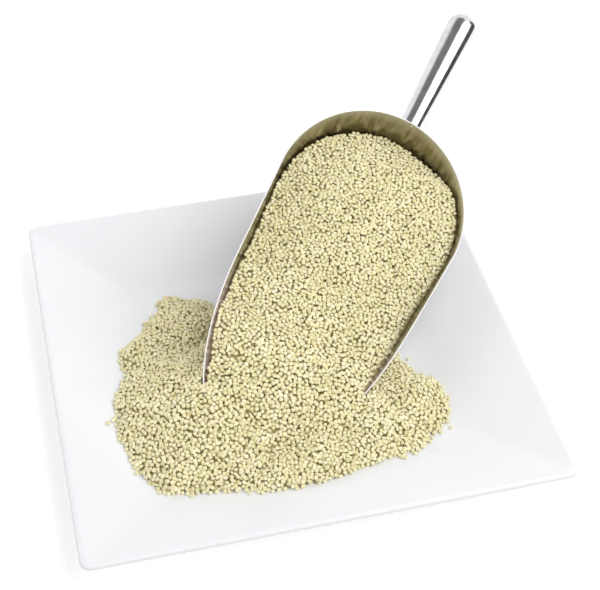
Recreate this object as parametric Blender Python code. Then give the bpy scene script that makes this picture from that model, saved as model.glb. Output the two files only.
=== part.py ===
"""Square white dish holding a loose heap of raw quinoa, with a steel scoop lying in it.

The scoop is full: its grain runs out over the lip and spreads into the heap on the dish.
Metres, +Z up. The origin is the centre of the dish, on the surface that its foot stands on.
+X is the dish's right and -Y its near side; the scoop's mouth points to the near left.
"""
import bpy
import bmesh
import math
import numpy as np

# ------------------------------------------------------------------ driving sizes
# dish: square, four sloping flanks that meet in soft creases, on a low flat foot
SIDE = 0.205            # outer side
HALF = SIDE / 2
RIM_Z = 0.0165          # top of the rim
WELL_DEPTH = 0.011      # rim down to the floor of the well
FLOOR_Z = RIM_Z - WELL_DEPTH
WELL_HALF = 0.061       # half the side of the flat well
WELL_R = 0.010          # corner radius of the well
CORNER_R = 0.0045       # corner radius of the rim
FILLET = 0.006          # how far the floor-to-flank curve reaches each way
RIM_T = 0.0034          # thickness at the edge
WALL_T = 0.0042         # thickness of the flanks
FOOT_H = 0.0012         # height of the foot under the flanks
FOOT_HALF = 0.0560      # half the side of the flat foot

# scoop: a trough with a half round back and sides cut down to a lip
SCOOP_AT = (0.0836, 0.0831, RIM_Z + 0.0433)   # middle of the back of its rim
SCOOP_AZ = math.radians(36.1)      # where the mouth points, from -Y towards -X
SCOOP_DIP = math.radians(5.5)      # mouth lower than the back
SCOOP_ROLL = math.radians(-23.1)   # rolled on to its right side
SHEET = 0.0010          # thickness of the steel
BOWL_R = 0.0448         # half the width
BACK_L = 0.0568         # length of the rounded back, along the scoop
TAPER = 0.07            # how fast the sides close towards the mouth
TAPER_END = 1.9         # and how much faster near the lip
TAPER_FROM = 0.115
HEEL_L = 0.050          # length over which the bottom rises to the back
DEEP_HEEL, DEEP_LIP = 0.0483, 0.0374   # depth under the rim at the heel and near the lip
CUT_FROM, CUT_AT, CUT_DROP, CUT_POWER = 0.0785, 0.1645, 0.0237, 2.23   # sides cut down to the lip
SECTION = 2.3           # how square the trough's cross-section is, 2 being an ellipse
ALONG, ACROSS = 36, 20  # facets along the scoop and round its section
HANDLE_AZ = math.radians(39.0)     # from +Y towards +X
HANDLE_UP = math.radians(15.0)
HANDLE_DOWN = 0.0170    # where it is welded on, below the rim
HANDLE_SIDE = 0.0009    # and to the right of the middle
HANDLE_L = 0.0855
HANDLE_R0, HANDLE_R1 = 0.0057, 0.0085   # radius at the neck and near the end
HANDLE_FOOT = 0.0070    # radius of the welded foot
DOME = 0.0080           # length of the rounded end

# quinoa
GAP = 0.0003            # clearance between pieces that touch
GRAIN_GAP = 0.0005      # and between the grain and the faceted sheet
# grain level below the rim, along the left and right walls of the scoop
LEVEL_U = (0.0, 0.025, 0.060, 0.090, 0.120, 0.142)
LEVEL_LEFT = (0.0145, 0.0145, 0.0178, 0.0190, 0.0135, 0.0050)
LEVEL_RIGHT = (0.0145, 0.0045, 0.0065, 0.0105, 0.0065, 0.0)
CROWN = 0.003           # how much the fill rises between the walls
FILL_END = 0.166
FILL_START = 0.0021     # where the back wall is a little deeper than the level
REPOSE = math.tan(math.radians(29))
# crest of the pour just past the lip: x, y, height over the floor, of its two ends
CREST = ((-0.0362, -0.0278, 0.0270), (0.0250, -0.0440, 0.0172))
CREST_SOFT = 0.004
# low mounds around it: x, y, radii, turn in degrees, height over the floor
MOUNDS = (
    (-0.0400, 0.0190, 0.0235, 0.0275, -30, 0.0105),   # behind, on the left
    (-0.0585, 0.0105, 0.0165, 0.0155, 20, 0.0085),    # a lobe on the left
    (-0.0435, 0.0430, 0.0065, 0.0065, 20, 0.0045),    # a spill at the very back
    (-0.0535, -0.0070, 0.0190, 0.0170, 0, 0.0095),    # left
    (-0.0570, -0.0275, 0.0240, 0.0170, 15, 0.0120),   # further round to the front
    (-0.0500, -0.0465, 0.0250, 0.0205, 42, 0.0120),   # near left corner
    (0.0410, -0.0395, 0.0265, 0.0210, -15, 0.0115),   # right
    (-0.0010, -0.0655, 0.0430, 0.0170, 9, 0.0110),    # near
    (-0.0160, 0.0140, 0.0195, 0.0260, -35, 0.0085),   # against the scoop's left side
    (0.0355, -0.0185, 0.0185, 0.0185, -35, 0.0070),   # and its right side
)
HEAP_EYE = (-0.010, -0.022)   # the heap's outline is found outwards from here
HEAP_EDGE = 0.0016      # height of its edge, under one grain
EDGE_STEP = 0.005
ROOM = 0.0022           # no grain where the scoop leaves less than this over the dish


# ------------------------------------------------------------------ dish surface
def corner_radius(h):
    h = np.asarray(h, float)
    out = WELL_R + (CORNER_R - WELL_R) * (h - WELL_HALF) / (HALF - WELL_HALF)
    return np.where(h < WELL_HALF, WELL_R * h / WELL_HALF, out)


def square_norm(x, y):
    """half side of the rounded square, of the dish's family, through a point"""
    ax, ay = np.abs(x), np.abs(y)
    lo = np.maximum(ax, ay)
    hi = lo + 0.012
    for _ in range(24):
        m = (lo + hi) / 2
        r = corner_radius(m)
        c = m - r
        inside = np.where((ax > c) & (ay > c), (ax - c) ** 2 + (ay - c) ** 2 <= r * r, np.maximum(ax, ay) <= m)
        hi = np.where(inside, m, hi)
        lo = np.where(inside, lo, m)
    return hi


def flank_z(h):
    k = WELL_DEPTH / (HALF - WELL_HALF)
    s = np.asarray(h, float) - WELL_HALF
    return FLOOR_Z + np.where(s < -FILLET, 0.0, np.where(s > FILLET, k * s, k * (s + FILLET) ** 2 / (4 * FILLET)))


def dish_top(x, y):
    return flank_z(square_norm(x, y))


# ------------------------------------------------------------------ scoop surface
def scoop_axes():
    toward = np.array([-math.sin(SCOOP_AZ), -math.cos(SCOOP_AZ), 0.0])
    t = math.cos(SCOOP_DIP) * toward - math.sin(SCOOP_DIP) * np.array([0, 0, 1.0])
    side = np.array([math.cos(SCOOP_AZ), -math.sin(SCOOP_AZ), 0.0])
    n = np.cross(t, side)
    c, s = math.cos(SCOOP_ROLL), math.sin(SCOOP_ROLL)
    return t, c * side + s * n, c * n - s * side


AX_T, AX_S, AX_N = scoop_axes()      # towards the mouth, to its right, out of the rim


def to_world(u, v, w):
    u, v, w = np.broadcast_arrays(np.asarray(u, float), np.asarray(v, float), np.asarray(w, float))
    return np.array(SCOOP_AT) + u[..., None] * AX_T + v[..., None] * AX_S + w[..., None] * AX_N


def half_width(u, inset=0.0):
    u = np.asarray(u, float)
    s = np.clip((BACK_L - u) / (BACK_L - inset), 0, 1)
    side = BOWL_R - inset - TAPER * (u - BACK_L) - TAPER_END * np.clip(u - TAPER_FROM, 0, None) ** 2
    return np.where(u < BACK_L, (BOWL_R - inset) * np.sqrt(np.clip(1 - s * s, 0, 1)), side)


def depth(u, inset=0.0):
    u = np.asarray(u, float)
    s = np.clip((HEEL_L - u) / (HEEL_L - inset), 0, 1)
    d0 = DEEP_HEEL - inset
    back = d0 * np.clip(1 - s ** SECTION, 0, 1) ** (1 / SECTION)
    return np.where(u < HEEL_L, back, d0 + (DEEP_LIP - DEEP_HEEL) * (u - HEEL_L) / (CUT_AT - HEEL_L))


def rim_drop(u):
    return CUT_DROP * np.clip((np.asarray(u, float) - CUT_FROM) / (CUT_AT - CUT_FROM), 0, None) ** CUT_POWER


def lip_u(inset=0.0, lift=0.0):
    """where the cut sides meet the bottom"""
    lo, hi = CUT_AT * 0.8, CUT_AT * 1.3
    for _ in range(50):
        m = (lo + hi) / 2
        lo, hi = (m, hi) if rim_drop(m) - lift < depth(m, inset) else (lo, m)
    return lo


def wall_v(u, w, inset=0.0):
    b, d = half_width(u, inset), depth(u, inset)
    return b * np.clip(1 - np.clip(-w / np.maximum(d, 1e-9), 0, 1) ** SECTION, 0, 1) ** (1 / SECTION)


def arc(u, top_left, top_right, count, inset):
    """points of one cross-section, from the left wall under the bottom to the right wall"""
    b, d = float(half_width(u, inset)), float(depth(u, inset))
    out = []
    for k in range(count + 1):
        f = -1 + 2 * k / count
        top = top_left if f < 0 else top_right
        q = min(1.0, max(0.0, top / max(d, 1e-9))) ** (SECTION / 2)
        start = math.asin(min(1.0, q))
        ph = math.pi / 2 - abs(f) * (math.pi / 2 - start)
        v = b * max(0.0, math.cos(ph)) ** (2 / SECTION) * (1 if f > 0 else -1 if f < 0 else 0)
        out.append((u, v, -d * math.sin(ph) ** (2 / SECTION)))
    return out


def stations(first, last, count):
    """closer together at both ends"""
    return [first + (last - first) * 0.5 * (1 - math.cos(math.pi * k / count)) for k in range(count + 1)]


# ------------------------------------------------------------------ quinoa surfaces
def table(u, at, values):
    """smooth curve through a few stations"""
    u = np.asarray(u, float)
    at, values = np.array(at), np.array(values)
    i = np.clip(np.searchsorted(at, u) - 1, 0, len(at) - 2)
    s = np.clip((u - at[i]) / (at[i + 1] - at[i]), 0, 1)
    s = s * s * (3 - 2 * s)
    return values[i] + (values[i + 1] - values[i]) * s


def grain_level(u, side):
    return rim_drop(u) + table(u, LEVEL_U, LEVEL_RIGHT if side > 0 else LEVEL_LEFT)


def smooth_max(a, b, k=0.004):
    h = np.clip(0.5 + 0.5 * (a - b) / k, 0, 1)
    return b + (a - b) * h + k * h * (1 - h)


def pour_z(x, y):
    """grain standing at its angle of rest all round the crest"""
    (x0, y0, z0), (x1, y1, z1) = CREST
    dx, dy = x1 - x0, y1 - y0
    s = np.clip(((x - x0) * dx + (y - y0) * dy) / (dx * dx + dy * dy), 0, 1)
    d = np.hypot(x - x0 - s * dx, y - y0 - s * dy)
    return FLOOR_Z + z0 + (z1 - z0) * s - REPOSE * (np.sqrt(d * d + CREST_SOFT ** 2) - CREST_SOFT)


def mound_z(x, y, mound):
    cx, cy, rx, ry, turn, high = mound
    c, s = math.cos(math.radians(turn)), math.sin(math.radians(turn))
    a = ((x - cx) * c + (y - cy) * s) / rx
    b = (-(x - cx) * s + (y - cy) * c) / ry
    return FLOOR_Z + high * (1 - np.sqrt(a * a + b * b) ** 2.4)


def heap_z(x, y):
    x, y = np.asarray(x, float), np.asarray(y, float)
    z = pour_z(x, y)
    for mound in MOUNDS:
        z = smooth_max(z, mound_z(x, y, mound))
    ripple = np.sin(x * 410 + 1.3) * np.sin(y * 370 + 0.4) + 0.7 * np.sin(x * 230 - y * 310 + 2.1)
    return z + 0.0006 * (ripple + 0.5 * np.sin(x * 620 + y * 540))


# ------------------------------------------------------------------ mesh helpers
def material(name, color, roughness, metallic=0.0):
    mat = bpy.data.materials.new(name)
    mat.use_nodes = True
    bsdf = mat.node_tree.nodes["Principled BSDF"]
    bsdf.inputs["Base Color"].default_value = (*color, 1.0)
    bsdf.inputs["Roughness"].default_value = roughness
    bsdf.inputs["Metallic"].default_value = metallic
    mat.diffuse_color = (*color, 1.0)
    return mat


def solid(name, rings, mat, caps=(True, True), closed=True):
    """loft equal rings into one closed body; each end is a cap or a single point"""
    bm = bmesh.new()
    rows = [[bm.verts.new(p) for p in ring] for ring in rings]
    for a, b in zip(rows, rows[1:]):
        if len(a) == 1 or len(b) == 1:
            tip, ring = (a[0], b) if len(a) == 1 else (b[0], a)
            for i in range(len(ring)):
                bm.faces.new((tip, ring[i], ring[(i + 1) % len(ring)]))
            continue
        for i in range(len(a)):
            j = (i + 1) % len(a)
            bm.faces.new((a[i], a[j], b[j], b[i]))
    if len(rows[0]) > 1:
        bm.faces.new(rows[0])
    if len(rows[-1]) > 1:
        bm.faces.new(rows[-1])
    bmesh.ops.triangulate(bm, faces=bm.faces[:])
    bmesh.ops.recalc_face_normals(bm, faces=bm.faces[:])
    if bm.calc_volume(signed=True) < 0:
        bmesh.ops.reverse_faces(bm, faces=bm.faces[:])
    me = bpy.data.meshes.new(name)
    bm.to_mesh(me)
    bm.free()
    ob = bpy.data.objects.new(name, me)
    bpy.context.scene.collection.objects.link(ob)
    if mat:
        me.materials.append(mat)
        me.shade_smooth()
        me.set_sharp_from_angle(angle=math.radians(40))
    return ob


def cutter(ob):
    ob.hide_render = True
    ob.display_type = 'WIRE'
    return ob


def boolean(ob, other, how):
    mod = ob.modifiers.new(how.title() + "_" + other.name, 'BOOLEAN')
    mod.operation = how
    mod.object = other
    mod.solver = 'EXACT'
    return mod


# ------------------------------------------------------------------ the pieces
def square_ring(h, r, z, per_corner=4, per_side=2):
    """a rounded square: per_corner steps round each corner and per_side points along each side"""
    pts = []
    for k in range(4):
        turn = k * math.pi / 2
        cx, cy = (h - r), (h - r)
        corner = []
        for i in range(per_corner + 1):
            a = math.pi / 2 * i / per_corner
            corner.append((cx + r * math.cos(a), cy + r * math.sin(a)))
        nxt = (-(h - r), h)
        for i in range(1, per_side + 1):
            f = i / (per_side + 1)
            corner.append((corner[per_corner][0] + (nxt[0] - corner[per_corner][0]) * f, h))
        for x, y in corner:
            pts.append((x * math.cos(turn) - y * math.sin(turn), x * math.sin(turn) + y * math.cos(turn), z))
    return pts


def build_dish(mat):
    prof = [(0.022, FLOOR_Z), (0.042, FLOOR_Z)]
    for h in (0.0550, 0.0580, 0.0610, 0.0640, 0.0670, 0.0790, 0.0910, 0.1000):
        prof.append((h, float(flank_z(h))))
    prof += [(HALF - 0.0010, RIM_Z - 0.0004), (HALF - 0.0003, RIM_Z - 0.0009), (HALF, RIM_Z - 0.0017),
             (HALF - 0.0002, RIM_Z - 0.0026), (HALF - 0.0009, RIM_Z - RIM_T)]
    k = WELL_DEPTH / (HALF - WELL_HALF)
    for h in (0.0850, 0.0700):
        prof.append((h, float(flank_z(h)) - WALL_T * math.sqrt(1 + k * k)))
    prof += [(FOOT_HALF + 0.0016, FOOT_H), (FOOT_HALF, FOOT_H * 0.5), (FOOT_HALF - 0.0005, 0.0), (0.030, 0.0)]
    rings = [[(0, 0, FLOOR_Z)]]
    for h, z in prof:
        rings.append(square_ring(h, float(corner_radius(h)), z))
    rings.append([(0, 0, 0)])
    return solid("dish", rings, mat)


def under_scoop(p):
    """pushed down through the dish wherever the scoop leaves no room for a grain"""
    clear = p[2] - float(dish_top(p[0], p[1]))
    s = min(1.0, max(0.0, (1.5 * ROOM - clear) / (0.5 * ROOM)))
    return (p[0], p[1], p[2] - (clear + 0.001) * s * s * (3 - 2 * s))


def sheet_solid(name, outer, inner, lift, mat, skirt=None):
    """one closed body from an outer and an inner skin that meet along the rim"""
    bm = bmesh.new()
    count_f = ACROSS
    uo = stations(min(0.0, outer) + 2e-5, lip_u(outer, lift) - 2e-5, ALONG)
    ui = stations(inner + 2e-5, lip_u(inner, lift) - 2e-5, ALONG)

    def skin(us, inset):
        rows = []
        for u in us:
            top = max(0.0, float(rim_drop(u)) - lift)
            rows.append(arc(u, top, top, count_f, inset))
        first, last = us[0], us[-1]
        ends = []
        for u, row in ((first, rows[0]), (last, rows[-1])):
            mid = row[count_f // 2]
            ends.append((u, 0.0, (row[0][2] + mid[2]) / 2 if u == last else row[0][2]))
        body = [[bm.verts.new(to_world(*p)) for p in row] for row in rows[1:-1]]
        tips = [bm.verts.new(to_world(*e)) for e in ends]
        return body, tips

    out_rows, out_tips = skin(uo, outer)
    in_rows, in_tips = skin(ui, inner)
    if skirt:
        for vert in [v for row in out_rows for v in row[1:-1]]:     # all but the rim
            vert.co = skirt(vert.co)
    for rows, tips, flip in ((out_rows, out_tips, False), (in_rows, in_tips, True)):
        for a, b in zip(rows, rows[1:]):
            for k in range(count_f):
                f = (a[k], a[k + 1], b[k + 1], b[k])
                bm.faces.new(f[::-1] if flip else f)
        for tip, row, rev in ((tips[0], rows[0], True), (tips[1], rows[-1], False)):
            for k in range(count_f):
                f = (tip, row[k], row[k + 1]) if rev else (tip, row[k + 1], row[k])
                bm.faces.new(f[::-1] if flip else f)
    for side in (0, count_f):
        o = [out_tips[0]] + [r[side] for r in out_rows] + [out_tips[1]]
        i = [in_tips[0]] + [r[side] for r in in_rows] + [in_tips[1]]
        for k in range(len(o) - 1):
            f = (o[k], o[k + 1], i[k + 1], i[k])
            bm.faces.new(f if side == 0 else f[::-1])
    bmesh.ops.triangulate(bm, faces=bm.faces[:])
    bmesh.ops.recalc_face_normals(bm, faces=bm.faces[:])
    if bm.calc_volume(signed=True) < 0:
        bmesh.ops.reverse_faces(bm, faces=bm.faces[:])
    me = bpy.data.meshes.new(name)
    bm.to_mesh(me)
    bm.free()
    ob = bpy.data.objects.new(name, me)
    bpy.context.scene.collection.objects.link(ob)
    if mat:
        me.materials.append(mat)
        me.shade_smooth()
        me.set_sharp_from_angle(angle=math.radians(40))
    return ob


def filled_hull(name, inset, first, last, count_u, count_f, level, crown):
    """the space inside the bowl, from the wall up to a level; level(u, side) is measured from the rim plane"""
    rings = []
    for u in stations(first, last, count_u):
        tl, tr = float(level(u, -1)), float(level(u, 1))
        low = arc(u, tl, tr, count_f, inset)
        vl, vr = low[0][1], low[-1][1]
        top = []
        for k in range(1, count_f):
            s = k / count_f
            s = s * s * (3 - 2 * s) * 0.5 + s * 0.5
            v = vr + (vl - vr) * s
            w = -tr + (tr - tl) * s + crown * 4 * s * (1 - s) * min(1.0, u / 0.05)
            top.append((u, v, max(w, -float(depth(u, inset)) * 0.98)))
        rings.append([tuple(to_world(*p)) for p in low + top])
    return solid(name, rings, None)


def build_handle(mat):
    start = to_world(0.006, HANDLE_SIDE, -HANDLE_DOWN)
    d = np.array([math.sin(HANDLE_AZ) * math.cos(HANDLE_UP), math.cos(HANDLE_AZ) * math.cos(HANDLE_UP), math.sin(HANDLE_UP)])
    e1 = np.cross(d, (0, 0, 1))
    e1 /= np.linalg.norm(e1)
    e2 = np.cross(e1, d)
    root = 0.006
    prof = [(0.0, HANDLE_FOOT), (root, HANDLE_FOOT), (root + 0.0022, HANDLE_R0 + 0.0006), (root + 0.005, HANDLE_R0)]
    body = HANDLE_L - DOME
    for k in range(1, 5):
        f = k / 4
        prof.append((root + 0.005 + (body - 0.005) * f, HANDLE_R0 + (HANDLE_R1 - HANDLE_R0) * f))
    for k in range(1, 5):
        a = math.pi / 2 * k / 5
        prof.append((root + body + DOME * math.sin(a), HANDLE_R1 * math.cos(a)))
    count = 18
    rings = []
    for along, r in prof:
        rings.append([tuple(start + d * along + r * (math.cos(2 * math.pi * i / count) * e1 + math.sin(2 * math.pi * i / count) * e2)) for i in range(count)])
    rings.append([tuple(start + d * (root + HANDLE_L))])
    return solid("scoop_handle", rings, mat)


def build_heap(mat):
    """grain on the dish: a top skin over a bottom skin that follows the dish, out to an uneven edge"""
    count_a, count_r = 64, 13
    ex, ey = HEAP_EYE
    angles = [2 * math.pi * (i + 0.37) / count_a for i in range(count_a)]
    outline = []
    for a in angles:
        rs = np.linspace(0.012, 0.090, 400)
        x, y = ex + rs * math.cos(a), ey + rs * math.sin(a)
        low = heap_z(x, y) - dish_top(x, y) < HEAP_EDGE
        outline.append(float(rs[np.argmax(low)]) if low.any() else float(rs[-1]))
    for _ in range(3):      # no jump of more than EDGE_STEP between neighbours
        outline = [max(r, outline[i - 1] - EDGE_STEP, outline[(i + 1) % count_a] - EDGE_STEP) for i, r in enumerate(outline)]
    bm = bmesh.new()

    def skin(steps, height):
        rows = []
        for f in steps:
            row = []
            for a, r in zip(angles, outline):
                x, y = ex + r * f * math.cos(a), ey + r * f * math.sin(a)
                row.append(bm.verts.new((x, y, height(x, y))))
            rows.append(row)
        centre = bm.verts.new((ex, ey, height(ex, ey)))
        return rows, centre

    top, top_c = skin([(k / count_r) ** 0.9 for k in range(1, count_r + 1)],
                      lambda x, y: max(float(heap_z(x, y)), float(dish_top(x, y)) + HEAP_EDGE))
    low, low_c = skin([0.35, 0.62, 0.72, 0.80, 0.87, 0.94, 1.0], lambda x, y: float(dish_top(x, y)) + GAP + 0.0001)
    for rows, centre in ((top, top_c), (low, low_c)):
        for i in range(count_a):
            bm.faces.new((centre, rows[0][i], rows[0][(i + 1) % count_a]))
        for a, b in zip(rows, rows[1:]):
            for i in range(count_a):
                j = (i + 1) % count_a
                bm.faces.new((a[i], b[i], b[j], a[j]))
    for i in range(count_a):
        j = (i + 1) % count_a
        bm.faces.new((top[-1][i], low[-1][i], low[-1][j], top[-1][j]))
    bmesh.ops.triangulate(bm, faces=bm.faces[:])
    bmesh.ops.recalc_face_normals(bm, faces=bm.faces[:])
    if bm.calc_volume(signed=True) < 0:
        bmesh.ops.reverse_faces(bm, faces=bm.faces[:])
    me = bpy.data.meshes.new("quinoa")
    bm.to_mesh(me)
    bm.free()
    me.materials.append(mat)
    ob = bpy.data.objects.new("quinoa", me)
    bpy.context.scene.collection.objects.link(ob)
    me.shade_smooth()
    me.set_sharp_from_angle(angle=math.radians(40))
    return ob


def main():
    for ob in list(bpy.data.objects):
        bpy.data.objects.remove(ob, do_unlink=True)
    porcelain = material("porcelain", (0.90, 0.91, 0.92), 0.12)
    steel = material("steel", (0.62, 0.61, 0.59), 0.28, 1.0)
    polished = material("polished_steel", (0.72, 0.72, 0.73), 0.16, 1.0)
    grain = material("quinoa", (0.70, 0.62, 0.38), 0.75)

    build_dish(porcelain)
    sheet_solid("scoop_bowl", 0.0, SHEET, 0.0, steel)

    handle = build_handle(polished)
    hull = cutter(filled_hull("cut_bowl_outside", -GAP, -GAP + 2e-5, lip_u(-GAP) - 0.001, ALONG, ACROSS,
                              lambda u, s: max(0.0, float(rim_drop(u))), 0.0))
    boolean(handle, hull, 'DIFFERENCE')

    quinoa = build_heap(grain)
    fill = cutter(filled_hull("fill_of_scoop", SHEET / 2, FILL_START, FILL_END, 26, 14, grain_level, CROWN))
    boolean(quinoa, fill, 'UNION')
    sheet = cutter(sheet_solid("cut_bowl_sheet", -GRAIN_GAP, SHEET + GRAIN_GAP, GRAIN_GAP, None, under_scoop))
    boolean(quinoa, sheet, 'DIFFERENCE')


main()
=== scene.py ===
"""Looks of the dish of quinoa: a square white dish, a steel scoop lying in it, and the loose grain.

The heap and the scoop's contents are thousands of separate grains, laid one by one over a
lower core that has grain-sized relief of its own.
"""

import math

import bpy
import numpy as np
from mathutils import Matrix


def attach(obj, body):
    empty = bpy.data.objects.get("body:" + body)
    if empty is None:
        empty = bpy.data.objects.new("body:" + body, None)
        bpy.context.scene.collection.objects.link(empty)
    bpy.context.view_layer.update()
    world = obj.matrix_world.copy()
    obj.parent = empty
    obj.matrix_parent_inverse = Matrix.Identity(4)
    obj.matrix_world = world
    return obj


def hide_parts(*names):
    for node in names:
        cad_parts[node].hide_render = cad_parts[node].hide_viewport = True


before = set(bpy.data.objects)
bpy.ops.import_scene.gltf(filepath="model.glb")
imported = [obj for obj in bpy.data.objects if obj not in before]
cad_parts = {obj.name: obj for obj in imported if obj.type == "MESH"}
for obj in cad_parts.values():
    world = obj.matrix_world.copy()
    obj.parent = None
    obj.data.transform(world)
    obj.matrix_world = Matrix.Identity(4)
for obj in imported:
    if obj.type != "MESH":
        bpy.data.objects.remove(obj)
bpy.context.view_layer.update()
rng = np.random.default_rng(20431)

# ------------------------------------------------------------------ sizes, as in the CAD
SIDE = 0.205
HALF = SIDE / 2
RIM_Z = 0.0165
WELL_DEPTH = 0.011
FLOOR_Z = RIM_Z - WELL_DEPTH
WELL_HALF = 0.061
WELL_R = 0.010
CORNER_R = 0.0045
FILLET = 0.006
RIM_T = 0.0034
WALL_T = 0.0042
FOOT_H = 0.0012
FOOT_HALF = 0.0560

SCOOP_AT = np.array((0.0836, 0.0831, RIM_Z + 0.0433))
SCOOP_AZ = math.radians(36.1)
SCOOP_DIP = math.radians(5.5)
SCOOP_ROLL = math.radians(-23.1)
SHEET = 0.0010
SKIN = 0.0006           # the real sheet, thinner than the CAD's
BOWL_R = 0.0448
BACK_L = 0.0568
TAPER, TAPER_END, TAPER_FROM = 0.07, 1.9, 0.115
HEEL_L = 0.050
DEEP_HEEL, DEEP_LIP = 0.0483, 0.0374
CUT_FROM, CUT_AT, CUT_DROP, CUT_POWER = 0.0785, 0.1645, 0.0237, 2.23
SECTION = 2.3
HANDLE_AZ = math.radians(39.0)
HANDLE_UP = math.radians(15.0)
HANDLE_DOWN = 0.0170
HANDLE_SIDE = 0.0009
HANDLE_L = 0.0855
HANDLE_R0, HANDLE_R1 = 0.0057, 0.0085
DOME = 0.0080

LEVEL_U = (0.0, 0.025, 0.060, 0.090, 0.120, 0.142)
LEVEL_LEFT = (0.0145, 0.0145, 0.0178, 0.0190, 0.0135, 0.0050)
LEVEL_RIGHT = (0.0145, 0.0045, 0.0065, 0.0105, 0.0065, 0.0)
CROWN = 0.003
REPOSE = math.tan(math.radians(29))
CREST = ((-0.0362, -0.0278, 0.0270), (0.0250, -0.0440, 0.0172))
CREST_SOFT = 0.004
MOUNDS = (
    (-0.0400, 0.0190, 0.0235, 0.0275, -30, 0.0105),
    (-0.0585, 0.0105, 0.0165, 0.0155, 20, 0.0085),
    (-0.0435, 0.0430, 0.0065, 0.0065, 20, 0.0045),
    (-0.0535, -0.0070, 0.0190, 0.0170, 0, 0.0095),
    (-0.0570, -0.0275, 0.0240, 0.0170, 15, 0.0120),
    (-0.0500, -0.0465, 0.0250, 0.0205, 42, 0.0120),
    (0.0410, -0.0395, 0.0265, 0.0210, -15, 0.0115),
    (-0.0010, -0.0655, 0.0430, 0.0170, 9, 0.0110),
    (-0.0160, 0.0140, 0.0195, 0.0260, -35, 0.0085),
    (0.0355, -0.0185, 0.0185, 0.0185, -35, 0.0070),
)

# grain
GRAIN_R = 0.00097       # mean radius of a grain
GRAIN_H = 0.62          # half thickness over radius
BED = 0.0030            # depth of loose grain over the core
LIMIT = 19000           # grains laid in heap and scoop
UNDER = 0.0060          # how far down the loose grain goes in under the bowl
EDGE = 0.0012           # height of the heap's surface at its outermost grains


# ------------------------------------------------------------------ dish surface
def corner_radius(h):
    h = np.asarray(h, float)
    out = WELL_R + (CORNER_R - WELL_R) * (h - WELL_HALF) / (HALF - WELL_HALF)
    return np.where(h < WELL_HALF, WELL_R * h / WELL_HALF, out)


def square_norm(x, y):
    ax, ay = np.abs(x), np.abs(y)
    lo = np.maximum(ax, ay)
    hi = lo + 0.012
    for _ in range(22):
        m = (lo + hi) / 2
        r = corner_radius(m)
        c = m - r
        inside = np.where((ax > c) & (ay > c), (ax - c) ** 2 + (ay - c) ** 2 <= r * r, np.maximum(ax, ay) <= m)
        hi = np.where(inside, m, hi)
        lo = np.where(inside, lo, m)
    return hi


def flank_z(h):
    k = WELL_DEPTH / (HALF - WELL_HALF)
    s = np.asarray(h, float) - WELL_HALF
    return FLOOR_Z + np.where(s < -FILLET, 0.0, np.where(s > FILLET, k * s, k * (s + FILLET) ** 2 / (4 * FILLET)))


def dish_top(x, y):
    return flank_z(square_norm(x, y))


# ------------------------------------------------------------------ scoop surface
def scoop_axes():
    toward = np.array([-math.sin(SCOOP_AZ), -math.cos(SCOOP_AZ), 0.0])
    t = math.cos(SCOOP_DIP) * toward - math.sin(SCOOP_DIP) * np.array([0, 0, 1.0])
    side = np.array([math.cos(SCOOP_AZ), -math.sin(SCOOP_AZ), 0.0])
    n = np.cross(t, side)
    c, s = math.cos(SCOOP_ROLL), math.sin(SCOOP_ROLL)
    return t, c * side + s * n, c * n - s * side


AX_T, AX_S, AX_N = scoop_axes()


def to_world(u, v, w):
    u, v, w = np.broadcast_arrays(np.asarray(u, float), np.asarray(v, float), np.asarray(w, float))
    return SCOOP_AT + u[..., None] * AX_T + v[..., None] * AX_S + w[..., None] * AX_N


def to_local(p):
    q = np.asarray(p) - SCOOP_AT
    return q @ AX_T, q @ AX_S, q @ AX_N


def half_width(u, inset=0.0):
    u = np.asarray(u, float)
    s = np.clip((BACK_L - u) / (BACK_L - inset), 0, 1)
    side = BOWL_R - inset - TAPER * (u - BACK_L) - TAPER_END * np.clip(u - TAPER_FROM, 0, None) ** 2
    return np.where(u < BACK_L, (BOWL_R - inset) * np.sqrt(np.clip(1 - s * s, 0, 1)), side)


def depth(u, inset=0.0):
    u = np.asarray(u, float)
    s = np.clip((HEEL_L - u) / (HEEL_L - inset), 0, 1)
    d0 = DEEP_HEEL - inset
    back = d0 * np.clip(1 - s ** SECTION, 0, 1) ** (1 / SECTION)
    return np.where(u < HEEL_L, back, d0 + (DEEP_LIP - DEEP_HEEL) * (u - HEEL_L) / (CUT_AT - HEEL_L))


def rim_drop(u):
    return CUT_DROP * np.clip((np.asarray(u, float) - CUT_FROM) / (CUT_AT - CUT_FROM), 0, None) ** CUT_POWER


def lip_u(inset=0.0):
    lo, hi = CUT_AT * 0.8, CUT_AT * 1.3
    for _ in range(50):
        m = (lo + hi) / 2
        lo, hi = (m, hi) if rim_drop(m) < depth(m, inset) else (lo, m)
    return lo


def wall_v(u, w, inset=0.0):
    b, d = half_width(u, inset), depth(u, inset)
    return b * np.clip(1 - np.clip(-w / np.maximum(d, 1e-9), 0, 1) ** SECTION, 0, 1) ** (1 / SECTION)


def rib(u, f, inset=0.0):
    """f runs -1..1 from the left rim under the bottom to the right rim"""
    b, d = half_width(u, inset), depth(u, inset)
    q = np.clip(rim_drop(u) / np.maximum(d, 1e-9), 0, 1) ** (SECTION / 2)
    start = np.arcsin(np.clip(q, 0, 1))
    ph = math.pi / 2 - np.abs(f) * (math.pi / 2 - start)
    v = b * np.clip(np.cos(ph), 0, 1) ** (2 / SECTION) * np.sign(f)
    return v, -d * np.sin(ph) ** (2 / SECTION)


# ------------------------------------------------------------------ grain surfaces
def table(u, at, values):
    u = np.asarray(u, float)
    at, values = np.array(at), np.array(values)
    i = np.clip(np.searchsorted(at, u) - 1, 0, len(at) - 2)
    s = np.clip((u - at[i]) / (at[i + 1] - at[i]), 0, 1)
    s = s * s * (3 - 2 * s)
    return values[i] + (values[i + 1] - values[i]) * s


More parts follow.
